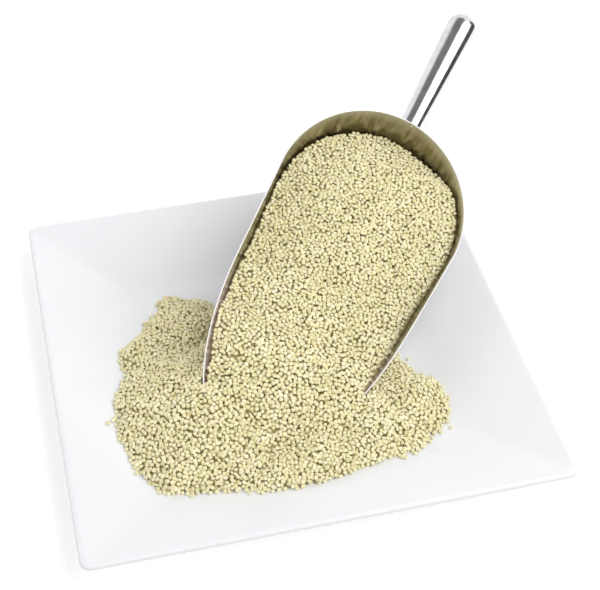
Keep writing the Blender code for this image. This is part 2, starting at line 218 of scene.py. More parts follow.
def fill_edges(u, inset):
    wl = -(rim_drop(u) + table(u, LEVEL_U, LEVEL_LEFT))
    wr = -(rim_drop(u) + table(u, LEVEL_U, LEVEL_RIGHT))
    return wl, wr, -wall_v(u, wl, inset), wall_v(u, wr, inset)


def fill_top(u, v):
    wl, wr, vl, vr = fill_edges(u, SKIN)
    s = np.clip((v - vl) / np.maximum(vr - vl, 1e-6), 0, 1)
    return wl + (wr - wl) * s + CROWN * 4 * s * (1 - s) * np.clip(u / 0.05, 0, 1)


def smooth_max(a, b, k=0.004):
    h = np.clip(0.5 + 0.5 * (a - b) / k, 0, 1)
    return b + (a - b) * h + k * h * (1 - h)


def heap_z(x, y):
    x, y = np.asarray(x, float), np.asarray(y, float)
    (x0, y0, z0), (x1, y1, z1) = CREST
    dx, dy = x1 - x0, y1 - y0
    s = np.clip(((x - x0) * dx + (y - y0) * dy) / (dx * dx + dy * dy), 0, 1)
    d = np.hypot(x - x0 - s * dx, y - y0 - s * dy)
    z = FLOOR_Z + z0 + (z1 - z0) * s - REPOSE * (np.sqrt(d * d + CREST_SOFT ** 2) - CREST_SOFT)
    for cx, cy, rx, ry, turn, high in MOUNDS:
        c, sn = math.cos(math.radians(turn)), math.sin(math.radians(turn))
        a = ((x - cx) * c + (y - cy) * sn) / rx
        b = (-(x - cx) * sn + (y - cy) * c) / ry
        z = smooth_max(z, FLOOR_Z + high * (1 - np.sqrt(a * a + b * b) ** 2.4))
    ripple = np.sin(x * 410 + 1.3) * np.sin(y * 370 + 0.4) + 0.7 * np.sin(x * 230 - y * 310 + 2.1)
    return z + 0.0006 * (ripple + 0.5 * np.sin(x * 620 + y * 540))


def cells(x, y, pitch, seed):
    """distance to the nearest of scattered points, in pitches: rounded bumps of grain size"""
    gx, gy = np.floor(x / pitch), np.floor(y / pitch)
    best = np.full(np.shape(x), 9.0)
    for i in (-1, 0, 1):
        for j in (-1, 0, 1):
            cx, cy = gx + i, gy + j
            h1 = np.modf(np.abs(np.sin(cx * 127.1 + cy * 311.7 + seed) * 43758.5453))[0]
            h2 = np.modf(np.abs(np.sin(cx * 269.5 + cy * 183.3 + seed) * 43758.5453))[0]
            px, py = (cx + 0.15 + 0.7 * h1) * pitch, (cy + 0.15 + 0.7 * h2) * pitch
            best = np.minimum(best, ((x - px) ** 2 + (y - py) ** 2) / pitch ** 2)
    return np.sqrt(best)


def bumps(x, y, seed):
    """relief of packed grain, 0 in the crevices to 1 on top"""
    a = np.sqrt(np.clip(1 - (cells(x, y, 0.00195, seed) / 0.72) ** 2, 0, 1))
    b = np.sqrt(np.clip(1 - (cells(x + 0.7, y + 0.4, 0.00215, seed + 5) / 0.62) ** 2, 0, 1))
    return np.maximum(a, b * 1.15 - 0.1)


# ------------------------------------------------------------------ mesh helpers
def mesh_object(name, verts, quads, mats, smooth=True, tris=None):
    me = bpy.data.meshes.new(name)
    verts = np.asarray(verts, np.float64).reshape(-1, 3)
    faces = [f for f in (quads, tris) if f is not None and len(f)]
    loops = np.concatenate([np.asarray(f, np.int32).reshape(-1) for f in faces])
    sizes = np.concatenate([np.full(len(f), np.asarray(f).shape[1], np.int32) for f in faces])
    me.vertices.add(len(verts))
    me.vertices.foreach_set("co", verts.reshape(-1))
    me.loops.add(len(loops))
    me.loops.foreach_set("vertex_index", loops)
    me.polygons.add(len(sizes))
    me.polygons.foreach_set("loop_start", np.concatenate([[0], np.cumsum(sizes)[:-1]]).astype(np.int32))
    me.polygons.foreach_set("use_smooth", np.full(len(sizes), smooth))
    me.update(calc_edges=True)
    me.validate()
    for m in mats:
        me.materials.append(m)
    ob = bpy.data.objects.new(name, me)
    bpy.context.scene.collection.objects.link(ob)
    return ob


def grid_quads(rows, cols, wrap=False, start=0):
    i, j = np.meshgrid(np.arange(rows - 1), np.arange(cols if wrap else cols - 1), indexing="ij")
    k = (j + 1) % cols
    return np.stack([i * cols + j, i * cols + k, (i + 1) * cols + k, (i + 1) * cols + j], -1).reshape(-1, 4) + start


def add_attribute(ob, name, values):
    at = ob.data.attributes.new(name, "FLOAT", "POINT")
    at.data.foreach_set("value", np.asarray(values, np.float32))


# ------------------------------------------------------------------ material helpers
def new_material(name):
    mat = bpy.data.materials.new(name)
    mat.use_nodes = True
    nt = mat.node_tree
    return mat, nt, nt.nodes["Principled BSDF"]


def noise(nt, scale, detail=3.0, rough=0.55, stretch=None, turn=None):
    co = nt.nodes.new("ShaderNodeTexCoord")
    out = co.outputs["Object"]
    if stretch or turn:
        mp = nt.nodes.new("ShaderNodeMapping")
        if turn:
            mp.inputs["Rotation"].default_value = turn
        if stretch:
            mp.inputs["Scale"].default_value = stretch
        nt.links.new(out, mp.inputs["Vector"])
        out = mp.outputs["Vector"]
    n = nt.nodes.new("ShaderNodeTexNoise")
    n.inputs["Scale"].default_value = scale
    n.inputs["Detail"].default_value = detail
    n.inputs["Roughness"].default_value = rough
    nt.links.new(out, n.inputs["Vector"])
    return n.outputs["Fac"]


def ramp(nt, fac, stops):
    r = nt.nodes.new("ShaderNodeValToRGB")
    el = r.color_ramp.elements
    while len(el) > 1:
        el.remove(el[-1])
    el[0].position, el[0].color = stops[0][0], (*stops[0][1], 1)
    for pos, col in stops[1:]:
        e = el.new(pos)
        e.color = (*col, 1)
    nt.links.new(fac, r.inputs["Fac"])
    return r.outputs["Color"]


def span(nt, fac, a, b):
    m = nt.nodes.new("ShaderNodeMapRange")
    m.inputs["To Min"].default_value = a
    m.inputs["To Max"].default_value = b
    nt.links.new(fac, m.inputs["Value"])
    return m.outputs["Result"]


def window(nt, fac, a, b):
    """0 at a to 1 at b"""
    m = nt.nodes.new("ShaderNodeMapRange")
    m.inputs["From Min"].default_value = a
    m.inputs["From Max"].default_value = b
    nt.links.new(fac, m.inputs["Value"])
    return m.outputs["Result"]


def arith(nt, kind, a, b):
    m = nt.nodes.new("ShaderNodeMath")
    m.operation = kind
    m.use_clamp = False
    for sock, val in ((m.inputs[0], a), (m.inputs[1], b)):
        if isinstance(val, (int, float)):
            sock.default_value = val
        else:
            nt.links.new(val, sock)
    return m.outputs[0]


def attribute(nt, name):
    n = nt.nodes.new("ShaderNodeAttribute")
    n.attribute_name = name
    return n.outputs["Fac"]


def mix_color(nt, fac, a, b, kind="MIX"):
    m = nt.nodes.new("ShaderNodeMix")
    m.data_type = "RGBA"
    m.blend_type = kind
    for sock, val in ((m.inputs[0], fac), (m.inputs[6], a), (m.inputs[7], b)):
        if isinstance(val, (int, float)):
            sock.default_value = val
        elif isinstance(val, tuple):
            sock.default_value = (*val, 1)
        else:
            nt.links.new(val, sock)
    return m.outputs[2]


def bump(nt, bsdf, height, strength, distance):
    b = nt.nodes.new("ShaderNodeBump")
    b.inputs["Strength"].default_value = strength
    b.inputs["Distance"].default_value = distance
    nt.links.new(height, b.inputs["Height"])
    nt.links.new(b.outputs["Normal"], bsdf.inputs["Normal"])


def porcelain():
    mat, nt, bsdf = new_material("glazed_porcelain")
    fac = noise(nt, 26.0, 4.0)
    glaze = ramp(nt, fac, ((0.3, (0.818, 0.830, 0.846)), (0.7, (0.844, 0.854, 0.867))))
    # the rim's outer edge and underside are painted darker grey: painted shade on the rim's edge face
    glaze = mix_color(nt, attribute(nt, "rim_edge_shade"), glaze, (0.60, 0.605, 0.605))
    # the foot's face is left bare of glaze
    geo = nt.nodes.new("ShaderNodeNewGeometry")
    sep = nt.nodes.new("ShaderNodeSeparateXYZ")
    nt.links.new(geo.outputs["Position"], sep.inputs[0])
    low = nt.nodes.new("ShaderNodeMapRange")
    low.inputs["From Min"].default_value = 0.0002
    low.inputs["From Max"].default_value = 0.0006
    low.inputs["To Min"].default_value = 1.0
    low.inputs["To Max"].default_value = 0.0
    nt.links.new(sep.outputs["Z"], low.inputs["Value"])
    grit = ramp(nt, noise(nt, 900.0, 2.0), ((0.35, (0.66, 0.64, 0.60)), (0.65, (0.78, 0.765, 0.73))))
    nt.links.new(mix_color(nt, low.outputs["Result"], glaze, grit), bsdf.inputs["Base Color"])
    rough = span(nt, noise(nt, 60.0, 3.0), 0.10, 0.20)
    mx = nt.nodes.new("ShaderNodeMix")
    nt.links.new(low.outputs["Result"], mx.inputs[0])
    nt.links.new(rough, mx.inputs[2])
    mx.inputs[3].default_value = 0.75
    nt.links.new(mx.outputs[0], bsdf.inputs["Roughness"])
    bsdf.inputs["Specular IOR Level"].default_value = 0.5
    bump(nt, bsdf, noise(nt, 48.0, 2.0), 0.10, 0.0012)
    return mat


def brushed_steel():
    mat, nt, bsdf = new_material("brushed_sheet_steel")
    turn = (0.0, 0.0, SCOOP_AZ)
    fine = noise(nt, 900.0, 4.0, 0.7, (1.0, 0.035, 1.0), turn)
    broad = noise(nt, 38.0, 3.0)
    clean = ramp(nt, broad, ((0.3, (0.56, 0.545, 0.52)), (0.7, (0.66, 0.645, 0.62))))
    # inside, the wall is painted olive in streaks that run down it, a painted reflection of the grain, with a darker
    # painted shade band just over the grain
    along, across, fall, inner = (attribute(nt, k) for k in ("along", "across", "fall", "inner"))
    at = nt.nodes.new("ShaderNodeCombineXYZ")
    nt.links.new(along, at.inputs[0])
    nt.links.new(across, at.inputs[1])
    nt.links.new(arith(nt, "MULTIPLY", fall, 0.12), at.inputs[2])
    streak = nt.nodes.new("ShaderNodeTexNoise")
    streak.inputs["Scale"].default_value = 420.0
    streak.inputs["Detail"].default_value = 3.0
    nt.links.new(at.outputs[0], streak.inputs["Vector"])
    streak = streak.outputs["Fac"]
    # olive streaks standing in for the grain seen in the steel: painted reflection
    painted_grain_reflection = ramp(nt, streak, ((0.30, (0.215, 0.19, 0.105)), (0.48, (0.345, 0.315, 0.205)), (0.66, (0.49, 0.455, 0.355))))
    back = window(nt, along, 0.150, 0.085)
    cover = arith(nt, "MULTIPLY", arith(nt, "MULTIPLY", back, window(nt, fall, 0.0004, 0.0060)), inner)
    lumps = nt.nodes.new("ShaderNodeTexNoise")
    lumps.inputs["Scale"].default_value = 260.0
    lumps.inputs["Detail"].default_value = 2.0
    nt.links.new(at.outputs[0], lumps.inputs["Vector"])
    ragged = arith(nt, "ADD", fall, arith(nt, "MULTIPLY", lumps.outputs["Fac"], 0.016))
    # a ragged dark band just over the grain line: painted shade
    painted_shade_band = arith(nt, "MULTIPLY", arith(nt, "MULTIPLY", window(nt, ragged, 0.0182, 0.0212), window(nt, along, 0.075, 0.050)), inner)
    painted_shade_band = arith(nt, "MULTIPLY", painted_shade_band, 0.72)
    wall = mix_color(nt, painted_shade_band, mix_color(nt, cover, clean, painted_grain_reflection), (0.11, 0.09, 0.035))
    # towards the mouth the inner wall is tinted pale mauve: a painted reflection
    mouth_reflection_tint = arith(nt, "MULTIPLY", arith(nt, "MULTIPLY", window(nt, along, 0.112, 0.132), inner), 0.85)
    wall = mix_color(nt, mouth_reflection_tint, wall, (0.84, 0.76, 0.94))
    # the rim is deburred to a matt edge; its pale colour is a painted highlight along the rim line
    edge = attribute(nt, "edge")
    nt.links.new(mix_color(nt, edge, wall, (0.92, 0.91, 0.90)), bsdf.inputs["Base Color"])
    bsdf.inputs["Metallic"].default_value = 1.0
    rough = arith(nt, "ADD", span(nt, fine, 0.20, 0.42), arith(nt, "MULTIPLY", edge, 0.30))
    nt.links.new(rough, bsdf.inputs["Roughness"])
    bump(nt, bsdf, fine, 0.12, 0.00008)
    return mat


def polished_steel():
    mat, nt, bsdf = new_material("polished_steel")
    smear = noise(nt, 240.0, 3.0, 0.6)
    nt.links.new(ramp(nt, smear, ((0.35, (0.66, 0.66, 0.665)), (0.65, (0.76, 0.76, 0.765)))), bsdf.inputs["Base Color"])
    bsdf.inputs["Metallic"].default_value = 1.0
    nt.links.new(span(nt, smear, 0.10, 0.22), bsdf.inputs["Roughness"])
    bump(nt, bsdf, noise(nt, 700.0, 3.0), 0.05, 0.00006)
    return mat


def grain_material(name, dark, mid, pale):
    """tone varies from grain to grain; the germ's ring round each is paler than its faces"""
    mat, nt, bsdf = new_material(name)
    tone = nt.nodes.new("ShaderNodeAttribute")
    tone.attribute_name = "tone"
    ring = nt.nodes.new("ShaderNodeAttribute")
    ring.attribute_name = "ring"
    body = ramp(nt, tone.outputs["Fac"], ((0.0, dark), (0.5, mid), (1.0, pale)))
    rim = mix_color(nt, 0.45, body, (0.95, 0.92, 0.72))
    col = mix_color(nt, ring.outputs["Fac"], body, rim)
    speck = ramp(nt, noise(nt, 1500.0, 2.0), ((0.36, (0.92, 0.90, 0.84)), (0.60, (1.0, 1.0, 1.0))))
    col = mix_color(nt, 1.0, col, speck, "MULTIPLY")
    nt.links.new(col, bsdf.inputs["Base Color"])
    bsdf.inputs["Roughness"].default_value = 0.46
    bsdf.inputs["Specular IOR Level"].default_value = 0.42
    return mat


def core_material():
    mat, nt, bsdf = new_material("packed_grain")
    high = nt.nodes.new("ShaderNodeAttribute")
    high.attribute_name = "high"
    # the packed grain is coloured darker than the loose grains as painted shade in the gaps between them; its low
    # places are darkened further as painted crevice shade
    patch = ramp(nt, noise(nt, 520.0, 2.0), ((0.35, (0.50, 0.42, 0.19)), (0.65, (0.66, 0.58, 0.29))))
    painted_crevice_shade = mix_color(nt, 1.0, patch, (0.58, 0.52, 0.40), "MULTIPLY")
    nt.links.new(mix_color(nt, high.outputs["Fac"], painted_crevice_shade, patch), bsdf.inputs["Base Color"])
    bsdf.inputs["Roughness"].default_value = 0.7
    return mat


# ------------------------------------------------------------------ dish
def square_ring(h, r, z, per_corner=8, per_side=12):
    """a rounded square; the points along a side gather towards the corners"""
    pts = []
    for k in range(4):
        turn = k * math.pi / 2
        corner = []
        for i in range(per_corner + 1):
            a = math.pi / 2 * i / per_corner
            corner.append((h - r + r * math.cos(a), h - r + r * math.sin(a)))
        x1 = corner[-1][0]
        for i in range(1, per_side + 1):
            f = 0.5 * (1 - math.cos(math.pi * i / (per_side + 1)))
            corner.append((x1 + (-(h - r) - x1) * f, h))
        for x, y in corner:
            pts.append((x * math.cos(turn) - y * math.sin(turn), x * math.sin(turn) + y * math.cos(turn), z))
    return pts


def build_dish(mat):
    k = WELL_DEPTH / (HALF - WELL_HALF)
    prof = [(0.015, FLOOR_Z), (0.030, FLOOR_Z), (0.044, FLOOR_Z), (0.0535, FLOOR_Z)]
    for i in range(13):
        h = WELL_HALF - FILLET + 2 * FILLET * i / 12
        prof.append((h, float(flank_z(h))))
    for h in (0.0700, 0.0760, 0.0820, 0.0880, 0.0930, 0.0970, 0.0995):
        prof.append((h, float(flank_z(h))))
    top, low = RIM_Z - 0.0004, RIM_Z - RIM_T           # rounded edge between the two skins
    cz, rz, cx, rx = (top + low) / 2, (top - low) / 2, HALF - 0.0016, 0.0016
    rim_edge_shade = dict(zip(range(len(prof) + 2, len(prof) + 10), (0.3, 0.75, 1, 1, 1, 1, 1, 1)))    # the rim's outer edge and underside, painted darker grey as shade
    for i in range(9):
        a = math.pi / 2 - math.pi * i / 8
        prof.append((cx + rx * math.cos(a) ** 1.0 if abs(math.cos(a)) > 1e-9 else cx, cz + rz * math.sin(a)))
    t = WALL_T * math.sqrt(1 + k * k)
    for h in (0.0960, 0.0900, 0.0820, 0.0740, 0.0680):
        prof.append((h, min(float(flank_z(h)) - t + 0.0009 * max(0.0, (h - 0.090) / 0.0125), low)))
    prof += [(0.0640, FOOT_H + 0.0012), (0.0610, FOOT_H + 0.0004), (FOOT_HALF + 0.0016, FOOT_H), (FOOT_HALF + 0.0004, FOOT_H * 0.85),
             (FOOT_HALF, FOOT_H * 0.5), (FOOT_HALF - 0.0001, 0.0003), (FOOT_HALF - 0.0005, 0.0), (0.040, 0.0), (0.020, 0.0)]
    rings = [square_ring(h, float(corner_radius(h)), z) for h, z in prof]
    n = len(rings[0])
    verts = np.array([p for r in rings for p in r])
    quads = grid_quads(len(rings), n, True)
    c0, c1 = len(verts), len(verts) + 1
    verts = np.vstack([verts, [(0, 0, FLOOR_Z)], [(0, 0, 0)]])
    j = np.arange(n)
    last = (len(rings) - 1) * n
    tris = np.vstack([np.stack([np.full(n, c0), j, (j + 1) % n], -1), np.stack([np.full(n, c1), last + (j + 1) % n, last + j], -1)])
    ob = mesh_object("dish_porcelain", verts, quads[:, ::-1], [mat], tris=tris)
    rim_edge_shade_rows = np.array([rim_edge_shade.get(k, 0.0) for k in range(len(prof))])
    add_attribute(ob, "rim_edge_shade", np.concatenate([np.repeat(rim_edge_shade_rows, n), [0.0, 0.0]]))
    return ob


# ------------------------------------------------------------------ scoop
def build_bowl(mat):
    """outer and inner skin of the pressed sheet, joined by a rounded edge"""
    nu, nf = 116, 60
    cu = 0.5 * (1 - np.cos(np.pi * np.linspace(0, 1, nu)))
    f = np.linspace(-1, 1, nf)
    skins = []
    for inset in (0.0, SKIN):
        u = inset + 1e-7 + (lip_u(inset) - inset - 2e-7) * cu
        uu, ff = np.meshgrid(u, f, indexing="ij")
        v, w = rib(uu, ff, inset)
        skins.append(to_world(uu, v, w))
    outer, inner = skins
    # rounded edge: three more rows between the two rims, on each side
    verts = [outer.reshape(-1, 3), inner.reshape(-1, 3)]
    quads = [grid_quads(nu, nf), grid_quads(nu, nf)[:, ::-1] + nu * nf]
    base = 2 * nu * nf
    steps = 4
    for side, flip in ((0, False), (nf - 1, True)):
        a, b = outer[:, side], inner[:, side]
        rise = np.cross(np.gradient(a, axis=0), b - a)
        rise /= np.maximum(np.linalg.norm(rise, axis=1, keepdims=True), 1e-9)
        if (rise @ AX_N).mean() < 0:
            rise = -rise
        ring = [np.arange(nu) * nf + side]
        for k in range(1, steps):
            s = k / steps
            p = a + (b - a) * (0.5 - 0.5 * math.cos(math.pi * s)) + rise * (SKIN * 0.42 * math.sin(math.pi * s))
            verts.append(p)
            ring.append(base + np.arange(nu))
            base += nu
        ring.append(nu * nf + np.arange(nu) * nf + side)
        for p, q in zip(ring, ring[1:]):
            quad = np.stack([p[:-1], p[1:], q[1:], q[:-1]], -1)
            quads.append(quad[:, ::-1] if flip else quad)
    # the first and the last rib close the two ends
    j = np.arange(nf - 1)
    for row, flip in ((0, True), (nu - 1, False)):
        a, b = row * nf + j, nu * nf + row * nf + j
        quad = np.stack([a, a + 1, b + 1, b], -1)
        quads.append(quad[:, ::-1] if flip else quad)
    tris = []
    for side, mids in ((0, 2 * nu * nf), (nf - 1, 2 * nu * nf + (steps - 1) * nu)):
        for row in (0, nu - 1):
            chain = [row * nf + side] + [mids + k * nu + row for k in range(steps - 1)] + [nu * nf + row * nf + side]
            for k in range(1, len(chain) - 1):
                tri = (chain[0], chain[k], chain[k + 1])
                tris.append(tri if (side == 0) == (row == 0) else tri[::-1])
    verts = np.vstack(verts)
    quads = np.vstack(quads)
    ob = mesh_object("scoop_sheet", verts, quads, [mat], tris=tris)
    u, v, w = to_local(verts)
    inner = np.zeros(len(verts))
    inner[nu * nf:2 * nu * nf] = 1.0
    add_attribute(ob, "along", u)
    add_attribute(ob, "across", v)
    add_attribute(ob, "fall", -rim_drop(u) - w)
    add_attribute(ob, "inner", inner)
    edge = np.zeros(len(verts))
    edge[2 * nu * nf:] = 1.0
    add_attribute(ob, "edge", edge)
    return ob


def in_scoop(p, grow):
    """inside the bowl's outer skin grown by grow, under its rim"""
    u, v, w = to_local(p)
    return (u > -grow) & (u < lip_u() + grow) & (w < -rim_drop(u) + grow) & (w > -depth(u) - grow) & (np.abs(v) < wall_v(u, w) + grow)


def inner_space(p, shrink):
    """inside the bowl's inner skin less shrink, also above its rim"""
    u, v, w = to_local(p)
    side = np.where(w > -rim_drop(u), wall_v(u, -rim_drop(u), SKIN + shrink), wall_v(u, w, SKIN + shrink))
    return (u > SKIN + shrink) & (u < lip_u(SKIN)) & (w > -depth(u, SKIN + shrink)) & (np.abs(v) < side)


def in_mouth(p):
    """in the open front of the scoop, above its contents"""
    u, v, w = to_local(p)
    return (u > 0.09) & (w > fill_top(u, v)) & inner_space(p, 0.0009)


def over_rim(p):
    u, v, w = to_local(p)
    return (u > 0) & (u < lip_u()) & (np.abs(v) < half_width(u)) & (w > -rim_drop(u))


def pressed(x, y, z):
    """the heap's height where the bowl lies in it: lowered until it lies against the underside"""
    z = np.array(z, float)
    for _ in range(70):
        p = np.stack([x, y, z], -1)
        hit = in_scoop(p, 0.0011) & ~over_rim(p) & ~in_mouth(p)
        if not hit.any():
            break
        z = np.where(hit, z - 0.0005, z)
    return z


def build_handle(mat):
    """a tapered tube with a rounded end, its foot fitted to the curve of the bowl's back"""
    d = np.array([math.sin(HANDLE_AZ) * math.cos(HANDLE_UP), math.cos(HANDLE_AZ) * math.cos(HANDLE_UP), math.sin(HANDLE_UP)])
    start = to_world(0.006, HANDLE_SIDE, -HANDLE_DOWN) + d * 0.006
    e1 = np.cross(d, (0, 0, 1))
    e1 /= np.linalg.norm(e1)
    e2 = np.cross(e1, d)
    n = 56
    th = 2 * np.pi * np.arange(n) / n
    ring = np.cos(th)[:, None] * e1 + np.sin(th)[:, None] * e2
    along = np.linspace(-0.014, 0.006, 401)
    p = start + along[:, None, None] * d + (HANDLE_R0 + 0.0012) * ring
    leaves = np.where(in_scoop(p, 0.0), along[:, None], -0.014).max(axis=0)     # where each line leaves the bowl
    q = start + along[:, None] * d
    middle = np.where(in_scoop(q, 0.0), along, -0.014).max() - 0.0002
    foot = [(-0.0005, 0.0013), (0.0001, 0.0012), (0.0007, 0.0008), (0.0014, 0.0004), (0.0024, 0.0001), (0.0036, 0.0)]
    rows = [start + (leaves + a)[:, None] * d + ring * (HANDLE_R0 + r) for a, r in foot]
    body = HANDLE_L - DOME
    first = 0.0100
    for k in range(20):
        a = first + (body - first) * k / 19
        rows.append(start + d * a + ring * (HANDLE_R0 + (HANDLE_R1 - HANDLE_R0) * (a / body) ** 0.97))
    for k in range(1, 12):
        a = math.pi / 2 * k / 12
        rows.append(start + d * (body + DOME * math.sin(a)) + ring * (HANDLE_R1 * math.cos(a)))
    quads = grid_quads(len(rows), n, True)
    verts = np.vstack(rows + [[start + d * HANDLE_L], [start + d * middle]])
    j = np.arange(n)
    last = (len(rows) - 1) * n
    tris = np.vstack([np.stack([np.full(n, len(verts) - 2), last + (j + 1) % n, last + j], -1),
                      np.stack([np.full(n, len(verts) - 1), j, (j + 1) % n], -1)])
    return mesh_object("scoop_grip", verts, quads[:, ::-1], [mat], tris=tris)


# ------------------------------------------------------------------ grain bed
def normal_of(fn, a, b, e=0.0008):
    """unit normal of a surface given as a function of two numbers that returns points"""
    n = np.cross(fn(a + e, b) - fn(a - e, b), fn(a, b + e) - fn(a, b - e))
    n /= np.linalg.norm(n, axis=-1, keepdims=True)
    return np.where(n[..., 2:] < 0, -n, n)


def heap_point(x, y):
    return np.stack([x, y, heap_z(x, y)], -1)


def fill_point(u, v):
    return to_world(u, v, fill_top(u, v))


def ragged(x, y):
    """uneven foot of the heap: where its grains stop, higher or lower on the slope"""
    return 0.0006 * np.sin(x * 760 + 1.9 * np.sin(y * 610 + 0.6)) * np.sin(y * 890 + 1.7) + 0.0004 * np.sin(x * 1900 + y * 1500)


def grain_sites():
    """evenly scattered places on the top of the heap and of the scoop's contents"""
    # heap
    n = 190000
    x, y = rng.uniform(-0.090, 0.075, n), rng.uniform(-0.090, 0.062, n)
    free = heap_z(x, y)
    z = pressed(x, y, free)
    floor = dish_top(x, y)
    p = np.stack([x, y, z], -1)
    u, v, w = to_local(p)
    # only outside the bowl, or in its mouth above the fill; far in under the bowl none can be seen
    over, mouth = over_rim(p), in_mouth(p)
    keep = (z - floor > EDGE + ragged(x, y)) & (mouth | ~in_scoop(p, 0.0010)) & (free - z < UNDER)
    keep &= ~(over & ((w < fill_top(u, v)) | (u < 0.09)))
    # nothing above ground that the steel stands over by less than a grain
    keep &= over | mouth | ~in_scoop(p - np.array([0, 0, 0.0012]), 0.0009)
    x, y, z, floor, p, mouth, over = x[keep], y[keep], z[keep], floor[keep], p[keep], mouth[keep], over[keep]
    nh = normal_of(heap_point, x, y)
    # in the mouth the heap runs smoothly into the fill
    u, v, w = to_local(p)
    blend = smooth_max(z, z - (w - fill_top(u, v)) / AX_N[2], 0.006)
    z = np.where(mouth | (over & (u > 0.09)), blend, z)
    density_h = n / (0.165 * 0.152)
    down = np.full(len(z), BED)
    for part in (0.75, 0.5, 0.3, 0.15):
        q = np.stack([x, y, z - down], -1)
        bad = np.where(mouth, ~inner_space(q, 0.0008), in_scoop(q, 0.0008) & ~over)
        down = np.where(bad, BED * part, down)
    low = np.maximum(z - down, floor + GRAIN_R * GRAIN_H)
    top = np.maximum(z - GRAIN_R * GRAIN_H, low + 0.0001)
    on_dish = z - down < floor + 0.0002
    # fill
    m = int(density_h * 0.170 * 0.09)
    u, v = rng.uniform(0.0022, 0.172, m), rng.uniform(-0.045, 0.045, m)
    wl, wr, vl, vr = fill_edges(u, SKIN + 0.0010)
    q = fill_point(u, v)
    keep = (v > vl) & (v < vr) & (q[:, 2] > heap_z(q[:, 0], q[:, 1]) - 0.0002)
    uu, vv, ww = to_local(q - np.array([0, 0, BED]))
    keep &= (ww > -depth(uu, SKIN + 0.0008)) & (np.abs(vv) < wall_v(uu, ww, SKIN + 0.0008)) & (uu > SKIN + 0.0010)
    u, v, q = u[keep], v[keep], q[keep]
    nf = normal_of(fill_point, u, v)
    zf = np.where(u > 0.09, smooth_max(q[:, 2], heap_z(q[:, 0], q[:, 1]), 0.006), q[:, 2])
    sites = np.vstack([p[:, :2], q[:, :2]])
    return (sites, np.concatenate([z, zf]), np.concatenate([low, zf - BED]), np.concatenate([top, zf - GRAIN_R * GRAIN_H]),
            np.vstack([nh, nf]), np.concatenate([on_dish, np.zeros(len(zf), bool)]))


def lay_grains(sites, low, top, limit):
    """each grain goes to the lowest of a few places near a random one, resting on those already there"""
    wide, tall = 1.72 * GRAIN_R, 1.15 * GRAIN_R
    cell = wide
    order = rng.permutation(len(sites))
    near = {}
    pitch = 0.0013
    for i in order:
        near.setdefault((int(sites[i, 0] // pitch), int(sites[i, 1] // pitch), int(top[i] // 0.012)), []).append(int(i))
    xs, ys = sites[:, 0].tolist(), sites[:, 1].tolist()
    lows, tops = low.tolist(), top.tolist()
    hashed = {}
    placed = []
    ww = wide * wide

    def rest(i):
        x, y, z = xs[i], ys[i], lows[i]
        cx, cy = int(x // cell), int(y // cell)
        hi = tops[i] + 0.004
        lo = lows[i] - 0.004
        for a in (cx - 1, cx, cx + 1):
            for b in (cy - 1, cy, cy + 1):
                for gx, gy, gz in hashed.get((a, b), ()):
                    d = (x - gx) ** 2 + (y - gy) ** 2
                    if d < ww and lo < gz < hi:
                        t = gz + tall * math.sqrt(1 - d / ww)
                        if t > z:
                            z = t
        return z

    keys = list(near)
    for sweep in range(12):
        for k in rng.permutation(len(keys)):
            group = near[keys[k]]
            size = len(group)
            best, where = 1e9, -1
            for t in range(5):
                i = group[(sweep * 5 + t) % size]
                z = rest(i)
                if z - tops[i] < best:
                    best, where, height = z - tops[i], i, z
            if best <= 0.00030:
                x, y = xs[where], ys[where]
                hashed.setdefault((int(x // cell), int(y // cell)), []).append((x, y, height))
                placed.append((where, height))
                if len(placed) >= limit:
                    return placed
    return placed


def out_of_sight(centres):
    """grains whose whole top lies under others"""
    cell = 2 * GRAIN_R
    at = {}
    rows = centres.tolist()
    for k, (x, y, z) in enumerate(rows):
        at.setdefault((int(x // cell), int(y // cell)), []).append(k)
    probe = [(0.0, 0.0)] + [(0.8 * GRAIN_R * math.cos(k * math.pi / 3), 0.8 * GRAIN_R * math.sin(k * math.pi / 3)) for k in range(6)]
    cover = (0.90 * GRAIN_R) ** 2
    hidden = np.zeros(len(rows), bool)
    for k, (x, y, z) in enumerate(rows):
        cx, cy = int(x // cell), int(y // cell)
        over = [rows[i] for a in (cx - 1, cx, cx + 1) for b in (cy - 1, cy, cy + 1) for i in at.get((a, b), ())
                if 0.35 * GRAIN_R < rows[i][2] - z < 0.004]
        hidden[k] = all(any((x + dx - gx) ** 2 + (y + dy - gy) ** 2 < cover for gx, gy, gz in over) for dx, dy in probe)
    return hidden


def grain_shape(kind, seg=8):
    """unit grain, radius 1: a thick disc with a rounded edge ring and slightly sunk faces"""
    pole, prof = {
        0: (0.55, ((0.56, 0.60), (0.90, 0.38), (1.00, -0.06), (0.74, -0.50))),
        1: (0.37, ((0.62, 0.46), (0.90, 0.34), (1.00, -0.04), (0.76, -0.40))),
        2: (0.74, ((0.54, 0.68), (0.88, 0.42), (0.97, -0.06), (0.70, -0.58))),
    }[kind]
    verts = [(0, 0, pole)]
    ring = [0.0]
    for row, (r, z) in enumerate(prof):
        for k in range(seg):
            a = 2 * math.pi * (k + 0.5 * (row % 2)) / seg
            lump = 1.0 + (0.08 if k == 0 and row in (1, 2) else 0.0)      # where the germ's two ends meet
            verts.append((r * lump * math.cos(a), r * lump * math.sin(a), z))
            ring.append((0.25, 0.85, 1.0, 0.5)[row])
    verts.append((0, 0, -pole - 0.04))
    ring.append(0.0)
    tris = []
    rows = len(prof)
    for k in range(seg):
        n = (k + 1) % seg
        tris.append((0, 1 + k, 1 + n))
        for row in range(rows - 1):
            a, b = 1 + row * seg, 1 + (row + 1) * seg
            if row % 2 == 0:
                tris += [(a + k, b + k, a + n), (b + k, b + n, a + n)]
            else:
                tris += [(a + k, b + k, b + n), (a + k, b + n, a + n)]
        low = 1 + (rows - 1) * seg
        tris.append((low + k, 1 + rows * seg, low + n))
    return np.array(verts), np.array(tris), np.array(ring)


